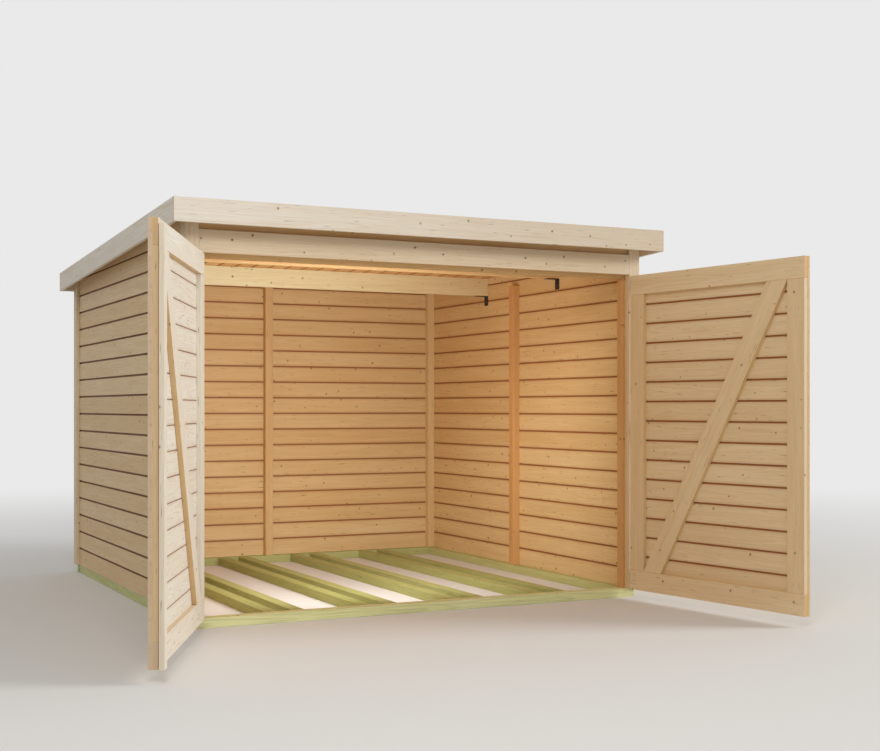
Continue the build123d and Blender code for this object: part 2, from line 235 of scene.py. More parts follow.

    # a joint's mark is 0.5 on the inner face and 1 on the outer, where dust has settled in it; the
    # same mark also paints shade beside the joints and in the closing strip's rebate
    dust = addNode(tree, "MapRange", {"Value": read["jointAndShade"]["Fac"], "From Min": 0.5})
    slot = addNode(tree, "Mix", {"Factor": dust, "A": linear(look["jointAndShade"]),
                                 "B": linear(look["dustyJoint"])}, data_type="RGBA")
    haloDarkening = addNode(tree, "Math", {0: halo, 1: w["haloTint"]}, operation="MULTIPLY")
    knot = addNode(tree, "Math", {0: core, 1: w["coreTint"]}, operation="MULTIPLY")
    ends = addNode(tree, "Math", {0: read["cut"]["Fac"], 1: w["endTint"]}, operation="MULTIPLY")
    dark = addNode(tree, "Math", {0: read["jointAndShade"]["Fac"], 1: w["jointTint"]}, operation="MULTIPLY",
                   use_clamp=True)
    lateColour, knotColour = linear(look["late"]), linear(look["knot"])
    for share, tint in ((streaks, lateColour), (fleck, knotColour), (haloDarkening, lateColour),
                        (knot, knotColour), (ends, lateColour), (dark, slot.outputs["Result"])):
        colour = addNode(tree, "Mix", {"Factor": share, "A": colour.outputs["Result"], "B": tint},
                         data_type="RGBA")

    # The hard late wood stands a little proud of the soft, as planed softwood does after some weeks
    relief = addNode(tree, "Math", {0: late, 1: w["lateProud"], 2: fibre}, operation="MULTIPLY_ADD")
    bump = addNode(tree, "Bump", {"Height": relief, "Strength": w["reliefStrength"],
                                  "Distance": w["relief"]})
    rough = addNode(tree, "MapRange", {"Value": fibre, "From Min": w["roughFade"][0],
                                       "From Max": w["roughFade"][1], "To Min": look["roughLow"],
                                       "To Max": look["roughHigh"]})
    shader = addNode(tree, "BsdfPrincipled", {"Base Color": colour.outputs["Result"], "Roughness": rough,
                                              "IOR": 1.45, "Normal": bump})
    return finishMaterial(material, shader)


# spruce; its two lit colours are painted light, paler and greyer than its own
spruceLook = {
    "pale": "#E8CB99", "middle": "#E1C08B", "warm": "#D7B076", "late": "#BB8A50", "knot": "#4A3020",
    "litPale": "#EAE3D7", "litWarm": "#E0D6C2", "jointAndShade": "#A05A22", "dustyJoint": "#7C4C1E",
    "ringWidth": 0.006, "ringStrength": 0.13, "fibreStrength": 0.18, "fleckStrength": 0.60,
    "knotCell": 0.13, "knotShare": 0.44, "knotSmall": 0.0033, "knotLarge": 0.0068,
    "roughLow": 0.52, "roughHigh": 0.70,
}
# pressure-treated pine; its two lit colours, far paler than its own, are painted light where light falls on
# the front sill
treatedLook = {
    "pale": "#BDBE80", "middle": "#B5B674", "warm": "#A8A861", "late": "#83843F", "knot": "#4A421E",
    "litPale": "#F3F1BF", "litWarm": "#E0DD98", "jointAndShade": "#5A4A20", "dustyJoint": "#5A4A20",
    "ringWidth": 0.006, "ringStrength": 0.18, "fibreStrength": 0.24, "fleckStrength": 0.40,
    "knotCell": 0.14, "knotShare": 0.34, "knotSmall": 0.003, "knotLarge": 0.008,
    "roughLow": 0.58, "roughHigh": 0.78,
}
spruce = makeSoftwood("planed_spruce", spruceLook)
# roof boards, jamb stops and one post in a darker, browner copy of the spruce: painted shade under the
# eaves, in the door opening and on the post
shadeSpruce = makeSoftwood("planed_spruce_painted_shade", {
    **spruceLook, "pale": "#DFB078", "middle": "#D59F62", "warm": "#C88E4E", "jointAndShade": "#7E4216"})
# the left leaf in a copy with whiter lit colours: painted light, where the leaf's inner face catches the
# most light
litLeafSpruce = makeSoftwood("planed_spruce_painted_glare",
                           {**spruceLook, "litPale": "#F1EEE4", "litWarm": "#E8E0CE"})
# the front fascia in a darker copy, which shows more towards its right end, where less painted light is
# kept: painted shade
fasciaShadeSpruce = makeSoftwood("planed_spruce_painted_shade_right", {
    **spruceLook, "pale": "#BCA276", "middle": "#B69A6E", "warm": "#AC8E62"})
# and the rear purlin in a copy with yellower lit colours: painted light where light from the front falls on
# it
litPurlinSpruce = makeSoftwood("planed_spruce_painted_light",
                       {**spruceLook, "litPale": "#E8E8C6", "litWarm": "#DFDEB4"})
treated = makeSoftwood("pressure_treated_pine", treatedLook)


# Mineral roofing felt: bitumen pressed full of slate granules, dull, with paler and darker grains.
# Real granules are 1 mm; these are 3 mm.
def makeFelt(look):
    material, tree = newMaterial("slate_granule_felt")
    place = addNode(tree, "TexCoord").outputs["Object"]
    grains = addNode(tree, "TexVoronoi", {"Vector": place, "Scale": 1 / look["granule"]})
    pick = addNode(tree, "SeparateXYZ", {"Vector": grains.outputs["Color"]})
    patch = addNode(tree, "TexNoise", {"Vector": place, "Scale": look["patchScale"], "Detail": 3.0})
    mixed = addNode(tree, "Math", {0: patch, 1: look["patchShare"], 2: pick.outputs[0]},
                    operation="MULTIPLY_ADD")
    mixed = addNode(tree, "Math", {0: mixed, 1: look["patchShare"] / 2}, operation="SUBTRACT",
                    use_clamp=True)
    colour = addNode(tree, "ValToRGB", {"Fac": mixed},
                     stops=[(0.0, look["dark"]), (1.0, look["light"]), (0.55, look["middle"])])
    bump = addNode(tree, "Bump", {"Height": grains.outputs["Distance"], "Strength": 0.5,
                                  "Distance": look["relief"]})
    shader = addNode(tree, "BsdfPrincipled", {"Base Color": colour, "Roughness": 0.93, "IOR": 1.5,
                                              "Normal": bump})
    return finishMaterial(material, shader)


felt = makeFelt({"granule": 0.003, "relief": 0.0008, "patchScale": 2.2, "patchShare": 0.5,
                 "dark": "#33383A", "middle": "#4A5052", "light": "#717779"})


# Hot-dip galvanised steel: grey metal with zinc spangles some 8 mm across, satin.
def makeGalvanised(look):
    material, tree = newMaterial("galvanised_steel")
    place = addNode(tree, "TexCoord").outputs["Object"]
    spangle = addNode(tree, "TexVoronoi", {"Vector": place, "Scale": 1 / look["spangle"]})
    pick = addNode(tree, "SeparateXYZ", {"Vector": spangle.outputs["Color"]})
    colour = addNode(tree, "ValToRGB", {"Fac": pick.outputs[0]},
                     stops=[(0.0, look["dark"]), (1.0, look["light"])])
    rough = addNode(tree, "MapRange", {"Value": pick.outputs[1], "To Min": look["roughLow"],
                                       "To Max": look["roughHigh"]})
    shader = addNode(tree, "BsdfPrincipled", {"Base Color": colour, "Metallic": 1.0, "Roughness": rough})
    return finishMaterial(material, shader)


galvanised = makeGalvanised({"spangle": 0.008, "dark": "#9DA2A5", "light": "#BDC1C3",
                             "roughLow": 0.36, "roughHigh": 0.52})


# Yellow-passivated screws: zinc with a chromate film, a dull brass look. The film's clouds are 4 mm.
def makeScrewSteel(look):
    material, tree = newMaterial("passivated_screw_steel")
    place = addNode(tree, "TexCoord").outputs["Object"]
    film = addNode(tree, "TexNoise", {"Vector": place, "Scale": look["filmScale"], "Detail": 1.0})
    colour = addNode(tree, "ValToRGB", {"Fac": film}, stops=[(0.3, look["dark"]), (0.7, look["light"])])
    shader = addNode(tree, "BsdfPrincipled", {"Base Color": colour, "Metallic": 1.0, "Roughness": 0.42})
    return finishMaterial(material, shader)


screwSteel = makeScrewSteel({"filmScale": 240.0, "dark": "#6E5A3A", "light": "#8E7748"})


# Black powder coat on steel: nearly black, satin, with the coat's faint orange peel, here 3 mm wide.
def makePowderCoat(look):
    material, tree = newMaterial("black_powder_coat")
    place = addNode(tree, "TexCoord").outputs["Object"]
    peel = addNode(tree, "TexNoise", {"Vector": place, "Scale": 1 / look["peel"], "Detail": 1.0})
    colour = addNode(tree, "ValToRGB", {"Fac": peel}, stops=[(0.35, look["dark"]), (0.65, look["light"])])
    bump = addNode(tree, "Bump", {"Height": peel, "Strength": 0.3, "Distance": look["relief"]})
    shader = addNode(tree, "BsdfPrincipled", {"Base Color": colour, "Roughness": 0.45, "IOR": 1.5,
                                              "Normal": bump})
    return finishMaterial(material, shader)


blackCoat = makePowderCoat({"peel": 0.003, "relief": 0.0003, "dark": "#1B1B1D", "light": "#242426"})
print("finishes made")


# Mesh tools

def ringsToMesh(points):
    # points[i, j] is point j of ring i; each ring is closed, neighbours are joined by quads, the two
    # end rings are capped. Right-handed rings face outwards.
    rings, around = points.shape[:2]
    i, j = np.meshgrid(np.arange(rings - 1) * around, np.arange(around), indexing="ij")
    k = (j + 1) % around
    quads = np.stack([i + j, i + k, i + around + k, i + around + j], axis=-1)
    caps = [list(range(around))[::-1], list(range((rings - 1) * around, rings * around))]
    return {"verts": points.reshape(-1, 3), "faces": quads.reshape(-1, 4).tolist() + caps}


def easedOutline(corners, ease=shed["ease"]):
    # each corner becomes three points: ease back along one side, a blend, ease on along the next
    corners = np.array(corners, float)
    back = np.roll(corners, 1, axis=0) - corners
    ahead = np.roll(corners, -1, axis=0) - corners
    first = corners + back * (ease / np.linalg.norm(back, axis=1))[:, None]
    last = corners + ahead * (ease / np.linalg.norm(ahead, axis=1))[:, None]
    middle = 0.4 * corners + 0.3 * (first + last)
    return np.stack([first, middle, last], axis=1).reshape(-1, 2)


def planed(width, thickness):  # a rectangle with eased corners, anticlockwise
    return easedOutline([(0, 0), (width, 0), (width, thickness), (0, thickness)])


matching = {"chamfer": 0.0018, "innerSlot": 0.0080, "outerSlot": 0.0092, "tongue": 0.0100,
            "groove": 0.0130, "tongueHalf": 0.0025, "tongueTip": 0.85, "grooveHalf": 0.0030,
            "cutEase": 0.0008, "soft": 0.012, "softShadeShare": 0.28}


def matchboard(cover, lower="groove", upper="tongue", innerSlot=matching["innerSlot"],
               outerSlot=matching["outerSlot"], chamfer=matching["chamfer"], mark=0.5):
    # A tongued and grooved board, eased along both edges, with an open slot at each joint, narrow on the
    # inner face and wide on the outer; a cut edge is square. The third number marks the joint and its
    # painted shade: mark on the inner face and 1 on the outer. On the inner face painted shade makes a
    # board browner towards its joint, over a soft strip.
    m, t, c = matching, shed["boardThickness"], chamfer
    soft, edgeShade = m["soft"], m["softShadeShare"] * mark
    p, q, mid, e = innerSlot / 2, outerSlot / 2, t / 2, m["cutEase"]
    if upper == "tongue":
        a, b, reach = m["tongueHalf"], m["tongueHalf"] * m["tongueTip"], cover + m["tongue"]
        right = [(cover - p - c - soft, 0, 0), (cover - p - c, 0, edgeShade), (cover - p, c, mark),
                 (cover - p, mid - a, mark), (reach, mid - b, mark), (reach, mid + b, 1),
                 (cover - q, mid + a, 1), (cover - q, t - c, 1), (cover - q - c, t, 0)]
    else:
        right = [(cover - e, 0, 0), (cover, e, 0), (cover, t - e, 0), (cover - e, t, 0)]
    if lower == "groove":
        a, g = m["grooveHalf"], min(m["groove"], m["tongue"] + innerSlot)
        left = [(q + c, t, 0), (q, t - c, 1), (q, mid + a, 1), (g, mid + a, 1), (g, mid - a, mark),
                (p, mid - a, mark), (p, c, mark), (p + c, 0, edgeShade), (p + c + soft, 0, 0)]
    else:
        left = [(e, t, 0), (0, t - e, 0), (0, e, 0), (e, 0, 0)]
    return np.array(right + left)


# Painted light: how pale the near face, the far face and the edges of a timber are painted, paler
# where light falls strongly and warmer in shade
indoors, wallFaces, halfPaled = (0, 0, 0), (0, 0.2, 0), (0.3, 0.3, 0.3)
paintedHalfLight, paintedFullLight = (0.52, 0.52, 0.52), (1, 1, 1)

trunk = {"length": 40, "aside": 0.045, "heartNear": 0.012, "heartFar": 0.075}  # where a board is sawn
# painted light: a point this near to a face takes that face's share of it
faceSkin = 0.0002  # a point this near to a face takes that face's paling
tipEdges = 0.45, 0.55  # where a tapering board runs out, its edges lie at these shares of its width


def timber(corner, along, across, depth, length, section, cuts=(0, 0, 0, 0), width=None, breaks=(),
           drift=0.0, paintedLight=indoors, endSection=None):
    # The section, a closed outline in (across, depth), is carried straight along. Each end is cut on
    # the slant by its two slopes, along per across and along per depth, and drawn in by the ease.
    # width gives the board's width at a distance, and moves the outline's far half. The shares of
    # painted light, paler where light falls strongly, are for the near face, the far face and the edges,
    # and may add what is left of them at the far end. endSection is the outline at both ends, where the
    # joints are tight.
    corner, along, across, depth = (np.array(v, float) for v in (corner, along, across, depth))
    ease, thick, nominal = shed["ease"], section[:, 1].max(), section[:, 0].max()
    stations = np.array([0.0, ease, *breaks, length - ease, length])
    u = np.repeat(section[None, :, 0], len(stations), axis=0)
    v = np.repeat(section[None, :, 1], len(stations), axis=0)
    if width is not None:
        nominal += matching["cutEase"]
        full = width(stations)[:, None]
        u = np.where(u > nominal / 2, np.maximum(u + full - nominal, tipEdges[1] * full),
                     np.minimum(u, tipEdges[0] * full))
    jointAndShade = np.zeros(u.shape)
    if section.shape[1] == 3:
        jointAndShade[1:-1] = section[:, 2]
    if endSection is not None:
        for ring in (0, 1, -2, -1):
            u[ring], v[ring], jointAndShade[ring] = endSection[:, 0], endSection[:, 1], 0
    for ring in (0, -1):
        if endSection is None:
            u[ring] = np.clip(u[ring], u[ring].min() + ease, u[ring].max() - ease)
        v[ring] = np.clip(v[ring], ease, thick - ease)
    share = (stations / length)[:, None]
    s = stations[:, None] + (1 - share) * (cuts[0] * u + cuts[1] * v) + share * (cuts[2] * u + cuts[3] * v)
    points = corner + s[..., None] * along + u[..., None] * across + (v[..., None] - drift) * depth
    if np.dot(np.cross(across, depth), along) < 0:
        points, s, u, v, jointAndShade = (a[:, ::-1] for a in (points, s, u, v, jointAndShade))
    # the board's own place in its tree: how far along, across from the heart and out from it
    heart = (chance.uniform(0, trunk["length"]),
             chance.uniform(-trunk["aside"], trunk["aside"]) - nominal / 2,
             chance.uniform(trunk["heartNear"], trunk["heartFar"]) * chance.choice([-1, 1]) - thick / 2)
    grain = np.stack([s + heart[0], u + heart[1], v + heart[2]], axis=-1).reshape(-1, 3)
    cut = np.zeros(s.shape)
    cut[[0, -1]] = 1.0
    kept = paintedLight[3] if len(paintedLight) > 3 else 1.0
    # painted light: each point takes its face's share, scaled towards the far end
    share = np.where(v < faceSkin, paintedLight[0], np.where(v > thick - faceSkin, paintedLight[1], paintedLight[2]))
    share = share * (1 + (kept - 1) * s / length)
    return {**ringsToMesh(points), "grain": grain, "cut": cut.ravel(), "jointAndShade": jointAndShade.ravel(),
            "paintedLight": share.ravel(), "tone": np.full(len(grain), chance.uniform())}


def addPiece(name, parts, body, slotName, material, *nodes):
    # the parts' meshes one after another in one object, which rides on the body and stands for the nodes
    starts = np.cumsum([0] + [len(p["verts"]) for p in parts])
    faces = [[i + start for i in face] for p, start in zip(parts, starts) for face in p["faces"]]
    mesh = bpy.data.meshes.new(name)
    mesh.from_pydata(np.concatenate([p["verts"] for p in parts]).tolist(), [], faces)
    if "grain" in parts[0]:
        grain = mesh.attributes.new("grain", "FLOAT_VECTOR", "POINT")
        grain.data.foreach_set("vector", np.concatenate([p["grain"] for p in parts]).ravel())
        for key in ("tone", "cut", "jointAndShade", "paintedLight"):
            values = mesh.attributes.new(key, "FLOAT", "POINT")
            values.data.foreach_set("value", np.concatenate([p[key] for p in parts]))
    mesh.materials.append(material)
    mesh.update()
    piece = bpy.data.objects.new(name, mesh)
    bpy.context.collection.objects.link(piece)
    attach(piece, body)
    if nodes:
        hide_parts(*nodes)


def addSpruce(name, parts, node, body="shelter", wood=spruce):
    addPiece(name, parts, body, "untreated_spruce", wood, node)


def fasciaTop(y):  # height of the fascias' top edge, which falls from the eave
    return shed["eaveTop"] - (y - shed["eaveFrontY"]) * fall


def roofUnder(y):  # height of the roof boards' underside: the fascia's top less its upstand and the board
    return fasciaTop(y) - shed["fasciaUpstand"] - shed["boardThickness"] / pitchCos


def boxTimber(low, high, along, depth, topSlope=0.0, paintedLight=indoors):
    # one planed timber in the box from low to high: along is the axis of its length (0, 1, 2), depth
    # its thin axis. topSlope is how the far end's height changes with y.
    across = 3 - along - depth
    axes = np.eye(3)
    size = high - low
    cuts = (0, 0, topSlope, 0) if across == 1 else (0, 0, 0, topSlope)
    return timber(low, axes[along], axes[across], axes[depth], size[along],
                  planed(size[across], size[depth]), cuts, paintedLight=paintedLight)


def twoTimbers(node, width, along, depth):  # two alike, at the lowest and the highest x of the node's box
    low, high = nodeBox(node)
    inner = xAxis * (high[0] - low[0] - width)
    return [boxTimber(low, high - inner, along, depth), boxTimber(low + inner, high, along, depth)]


# Walls of tongued and grooved boards, laid level from the sills up to the roof boards
wall = {"innerX": rearHigh[0], "frontY": wallLow[1], "rearInnerY": rearLow[1], "rearY": rearHigh[1],
        "tipGap": 0.003, "leastTaper": 0.01, "drift": 0.0005}


def wallBoards(start, along, outward, length):
    # board k lies from the sill up by k covers; its width is the cover, or what the roof leaves of it
    cover, bottom, boards = shed["wallCover"], shed["sillTop"], []
    start = np.array(start, float)
    startTop, endTop = roofUnder(start[1]), roofUnder(start[1] + along[1] * length)
    while bottom < startTop - shed["leastStrip"]:
        room = min(startTop, endTop) - bottom
        run, breaks, upper, width = length, [], "tongue", None
        if room < cover:
            upper = "cut"
            if along[1]:
                run = min(length, (startTop - bottom - wall["tipGap"]) / fall)
                turn = (startTop - bottom - cover) / fall
                breaks = [turn] if wall["leastTaper"] < turn < run - wall["leastTaper"] else []
                width = lambda s, b=bottom: np.minimum(cover, roofUnder(start[1] + s) - b)
        section = matchboard(cover if along[1] or upper == "tongue" else room,
                             "groove" if boards else "cut", upper)
        boards.append(timber(start + zAxis * bottom, along, zAxis, outward, run, section, width=width,
                             breaks=breaks, drift=chance.uniform(0, wall["drift"]), paintedLight=wallFaces))
        bottom += cover
    return boards


for side, sideName in ((-1, "left"), (1, "right")):
    boards = wallBoards((side * wall["innerX"], wall["frontY"], 0), yAxis, xAxis * side,
                        wall["rearY"] - wall["frontY"])
    addSpruce(sideName + "_wall_boards", boards, sideName + "_wall")
boards = wallBoards((-wall["innerX"], wall["rearInnerY"], 0), xAxis, yAxis, 2 * wall["innerX"])
addSpruce("rear_wall_boards", boards, "rear_wall")
print("walls boarded")


# Timbers that keep the CAD node's box: length axis and thin axis of each
plainTimbers = {
    "front_sill": (0, 2), "rear_sill": (0, 2), "left_sill": (1, 2), "right_sill": (1, 2),
    "left_middle_post": (2, 0), "right_middle_post": (2, 0), "front_lintel": (0, 1), "head_stop": (0, 1),
    "front_fascia": (0, 1),
}
roofTimbers = {  # these run up to the roof boards, so their tops are cut to its slope
    "left_front_post": (2, 0), "right_front_post": (2, 0), "left_rear_post": (2, 0),
    "right_rear_post": (2, 0), "rear_middle_post": (2, 1),
}
# darker copies of the spruce for painted shade on a post and the fascia's right end, and how pale some
# timbers' faces are painted: painted light where light falls on them
shadedCopies = {"right_middle_post": shadeSpruce, "front_fascia": fasciaShadeSpruce}
paintedLightShares = {"front_fascia": (1, 1, 1, 0.45), "front_lintel": paintedHalfLight, "front_sill": paintedFullLight,
            "left_sill": halfPaled, "right_sill": halfPaled}
for node, (along, depth) in {**plainTimbers, **roofTimbers}.items():
    topSlope = -fall if node in roofTimbers else 0.0
    parts = [boxTimber(*nodeBox(node), along, depth, topSlope, paintedLightShares.get(node, indoors))]
    if node.endswith("sill"):
        addPiece(node + "_timber", parts, "shelter", "treated_timber", treated, node)
    else:
        addSpruce(node + "_timber", parts, node, wood=shadedCopies.get(node, spruce))
for i in range(4):
    node = f"wheel_runners_{i + 1}"
    addPiece(node + "_timbers", twoTimbers(node, shed["runnerWidth"], 1, 2), "shelter", "treated_timber",
             treated, node)
addSpruce("jamb_stop_timbers", twoTimbers("jamb_stops", shed["jambStopWidth"], 2, 0), "jamb_stops",
          wood=shadeSpruce)
print("straight timbers made")


# Header and purlins lie along the front; their tops follow the roof
def slopedTop(node, paintedLight=indoors):
    # the section is a box whose top edge falls with y
    low, high = nodeBox(node)
    width, height = high[1] - low[1], high[2] - low[2]
    section = easedOutline([(0, 0), (width, 0), (width, height - width * fall), (0, height)])
    return timber((high[0], low[1], low[2]), -xAxis, yAxis, zAxis, high[0] - low[0], section, paintedLight=paintedLight)


for node in ("door_header", "front_purlin"):
    addSpruce(node + "_timber", [slopedTop(node)], node)
# painted light makes the rear purlin paler to the left
addSpruce("rear_purlin_timber", [slopedTop("rear_purlin", (0.3, 0.3, 0.3, 3.3))], "rear_purlin",
          wood=litPurlinSpruce)


# Corner trims: a board on the front or rear face, and one on the side that covers its edge
thick = shed["trimThickness"]
for row in ("front", "rear"):
    for side, sideName in ((-1, "left"), (1, "right")):
        node = f"{row}_{sideName}_corner_trim"
        low, high = nodeBox(node)
        faceWidth = high[0] - low[0] - thick
        faceLow = np.array([low[0] if side > 0 else low[0] + thick,
                            low[1] if row == "front" else high[1] - thick, low[2]])
        faceHigh = np.array([faceLow[0] + faceWidth, faceLow[1] + thick, roofUnder(faceLow[1])])
        sideLow = np.array([low[0] if side < 0 else high[0] - thick, low[1], low[2]])
        sideHigh = np.array([sideLow[0] + thick, high[1], roofUnder(low[1])])
        addSpruce(node + "_boards", [boxTimber(faceLow, faceHigh, 2, 1, -fall, paintedHalfLight),
                                     boxTimber(sideLow, sideHigh, 2, 0, -fall, paintedHalfLight)], node)


# Roof boards, laid down the slope, and the fascias round them
slope = np.array([0, pitchCos, -pitchSin])
rise = np.array([0, pitchSin, pitchCos])
low, high = nodeBox("roof_deck")
deck = {"cover": 0.111, "left": low[0], "right": high[0], "length": (high[1] - low[1]) / pitchCos,
        "eave": np.array([0, low[1], roofUnder(low[1])])}
parts, x = [], deck["left"]
while x < deck["right"] - shed["leastStrip"]:
    wide = min(deck["cover"], deck["right"] - x)
    section = matchboard(wide, "groove" if parts else "cut", "tongue" if wide == deck["cover"] else "cut")
    parts.append(timber(deck["eave"] + x * xAxis, slope, xAxis, rise, deck["length"], section,
                        cuts=(0, -fall, 0, -fall)))
    x += wide
addSpruce("roof_boards", parts, "roof_deck", wood=shadeSpruce)

for side, node in ((-1, "left_fascia"), (1, "right_fascia")):
    low, high = nodeBox(node)
    bottom = fasciaTop(low[1]) - shed["fasciaHeight"]
    section = planed(shed["fasciaHeight"] * pitchCos, shed["fasciaThickness"])
    part = timber((high[0] if side < 0 else low[0], low[1], bottom), slope, rise, xAxis * side,
                  (high[1] - low[1]) / pitchCos, section, cuts=(-fall, 0, -fall, 0), paintedLight=paintedFullLight)
    addSpruce(node + "_timber", [part], node)
addSpruce("rear_fascia_timber", [slopedTop("rear_fascia", paintedFullLight)], "rear_fascia")
print("roof timbers made")


# Doors, built in each leaf's own axes: s from the pivot to the free edge, h up, out of the leaf
leafLow, leafHigh = nodeBox("left_door_boards")
door = {
    "hingeEdge": 0.027, "width": 1.2655, "bottom": leafLow[2], "height": leafHigh[2] - leafLow[2],
    "boardOut": -0.007, "frame": 0.024, "stile": 0.110, "rail": 0.110, "brace": 0.118,
    "cover": 0.1103, "firstJoint": 0.1356, "stripWidth": 0.058, "stripReach": 0.022,
    "stripThickness": 0.028, "stripDrop": 0.025, "stripRebate": 0.005,
    "innerSlot": {"left_door": 0.0026, "right_door": 0.0080}, "outerSlot": 0.0070,
    "tightSlot": 0.0004, "tightEnd": 0.010, "drift": 0.0004,
    "jointMark": {"left_door": 0.34, "right_door": 0.5}, "rebateShade": 0.56,
    # painted light on the inner and the outer face, then on the edges of the pieces: lower and upper
    # rail, hinge and free stile, brace, boards, strip; lit faces paler, edges in shade warmer
    "paintedLight": {"left_door": (1.0, 0.25), "right_door": (0.24, 0.25)},
    "paintedLightEdges": {"left_door": (0.5, 0.1, 1.0, 0.15, 0.1, 0.5, 0.75),
                   "right_door": (0.0, 0.0, 0.0, 0.4, 0.0, 0.0)},
}
door["top"] = door["bottom"] + door["height"]
door["innerOut"] = door["boardOut"] - shed["boardThickness"] - door["frame"]  # the frame's inner face
door["freeEdge"] = door["hingeEdge"] + door["width"]
pivots = {j["child"]: (np.array(j["pos_m"]) * (1, 1, 0), math.radians(-j["range_deg"][0]))
          for j in frame["joints"]}


def leafAxes(body, side):
    # the directions along the leaf and out of it at rest, and the point at s, h and out as a function
    foot, angle = pivots[body]
    along = np.array([-side * math.cos(angle), -math.sin(angle), 0])
    outward = np.array([side * math.sin(angle), -math.cos(angle), 0])
    return along, outward, lambda s, h, out: foot + along * s + zAxis * h + outward * out


def buildDoor(body, side):
    along, outward, at = leafAxes(body, side)
    d, thick, near, far = door, shed["boardThickness"], door["hingeEdge"], door["freeEdge"]
    # painted light for each piece's faces and edges
    paintedLight = [(*d["paintedLight"][body], edge) for edge in d["paintedLightEdges"][body]]
    # the left leaf takes the copy with whiter painted light
    wood = litLeafSpruce if side < 0 else spruce

    joints = [d["bottom"], *np.arange(d["firstJoint"], d["top"], d["cover"]), d["top"]]
    boards = []
    for i, (low, high) in enumerate(zip(joints, joints[1:])):
        edges = "groove" if i else "cut", "tongue" if high < d["top"] else "cut"
        section = matchboard(high - low, *edges, d["innerSlot"][body], d["outerSlot"],
                             mark=d["jointMark"][body])
        tight = matchboard(high - low, *edges, d["tightSlot"], d["tightSlot"], d["tightSlot"])
        boards.append(timber(at(near, low, d["boardOut"] - thick), along, zAxis, outward, d["width"],
                             section, breaks=(d["tightEnd"], d["width"] - d["tightEnd"]),
                             drift=chance.uniform(0, d["drift"]), paintedLight=paintedLight[5], endSection=tight))
    addSpruce(body + "_matchboards", boards, body + "_boards", body, wood)

    rails = [timber(at(near, h, d["innerOut"]), along, zAxis, outward, d["width"],
                    planed(d["rail"], d["frame"]), paintedLight=share)
             for h, share in ((d["bottom"], paintedLight[0]), (d["top"] - d["rail"], paintedLight[1]))]
    addSpruce(body + "_rail_timbers", rails, body + "_rails", body, wood)
    run, climb, w = d["width"] - 2 * d["stile"], d["height"] - 2 * d["rail"], d["brace"]
    railTop = d["bottom"] + d["rail"]
    stiles = [timber(at(s, railTop, d["innerOut"]), zAxis, along, outward, climb,
                     planed(d["stile"], d["frame"]), paintedLight=share)
              for s, share in ((near, paintedLight[2]), (far - d["stile"], paintedLight[3]))]
    addSpruce(body + "_stile_timbers", stiles, body + "_stiles", body, wood)

    # the brace's foot b solves b = w sqrt(1 + ((run - b) / climb)^2), so that both ends fill their corners
    footWidth = w * (climb * math.sqrt(climb ** 2 + run ** 2 - w ** 2) - w * run) / (climb ** 2 - w ** 2)
    lean = (run - footWidth) / climb
    up = (along * lean + zAxis) / math.hypot(lean, 1)
    across = (along - zAxis * lean) / math.hypot(lean, 1)
    brace = timber(at(near + d["stile"], railTop, d["innerOut"]), up, across, outward,
                   climb * math.hypot(lean, 1), planed(w, d["frame"]), cuts=(lean, 0, lean, 0),
                   paintedLight=paintedLight[4])
    addSpruce(body + "_brace_timber", [brace], body + "_brace", body, wood)
    if side < 0:
        w, t, r, b = d["stripWidth"], d["stripThickness"], d["stripReach"], d["stripRebate"]
        section = easedOutline([(0, 0), (w, 0), (w, t - b), (w - r, t - b), (w - r, t), (0, t)])
        mark = d["rebateShade"]
        # painted shade: the rebate between strip and stile darkened like a shadow gap
        rebateShadeMarks = np.repeat([0, 0, 0, mark, mark, 0], 3)  # its rebate, as dark as a joint
        strip = timber(at(far + r - w, d["bottom"], d["innerOut"] - t), zAxis, along, outward,
                       d["height"] - d["stripDrop"], np.column_stack([section, rebateShadeMarks]), paintedLight=paintedLight[6])
        addSpruce(body + "_closing_strip_timber", [strip], body + "_closing_strip", body, wood)


buildDoor("left_door", -1)
buildDoor("right_door", 1)
print("doors made")


# Felt in three sheets across the slope, each lapped over the one below, turned up at the side fascias
felting = {
    "rows": [(1.800, 2.797), (0.868, 1.868), (0.0, 0.936)],  # each sheet's upper and lower edge
    "thickness": 0.0025, "lap": 0.075, "lapBlend": 0.006, "lapAir": 0.0008, "sideGap": 0.0005,
    "turnUp": 0.016, "turnWidth": 0.010, "ripple": 0.0016, "waves": (4.3, 5, 6.1, 1.7),
    "acrossPoints": 90, "alongPoints": 26,
}


def feltSheet(low, high, level):
    # ring i is the sheet's section at one x: its underside from low to high down the slope and its top
    # back again. Its height is the lap below it, plus slow ripples, plus the turn-up near both sides.
    f = felting
    half = deck["right"] - f["sideGap"]
    x = (half * np.sin(np.linspace(-math.pi / 2, math.pi / 2, f["acrossPoints"])))[:, None]
    s = np.linspace(low, high, f["alongPoints"])
    lap = level / (1 + np.exp(-(s - (high - f["lap"])) / f["lapBlend"]))
    a, b, c, d = f["waves"]
    ripple = f["ripple"] * (1 + np.sin(x * a + low * b) * np.sin(s * c + x * d)) / 2
    turn = f["turnUp"] * np.clip((np.abs(x) - (half - f["turnWidth"])) / f["turnWidth"], 0, 1) ** 2
    under = lap + ripple + turn
    down = np.broadcast_to(s, under.shape)
    outline = np.concatenate([np.stack([down, under], -1),
                              np.stack([down, under + f["thickness"]], -1)[:, ::-1]], 1)
    base = deck["eave"] + rise * shed["boardThickness"]
    points = base + x[..., None] * xAxis + outline[..., :1] * slope + outline[..., 1:] * rise
    return ringsToMesh(points[:, ::-1])


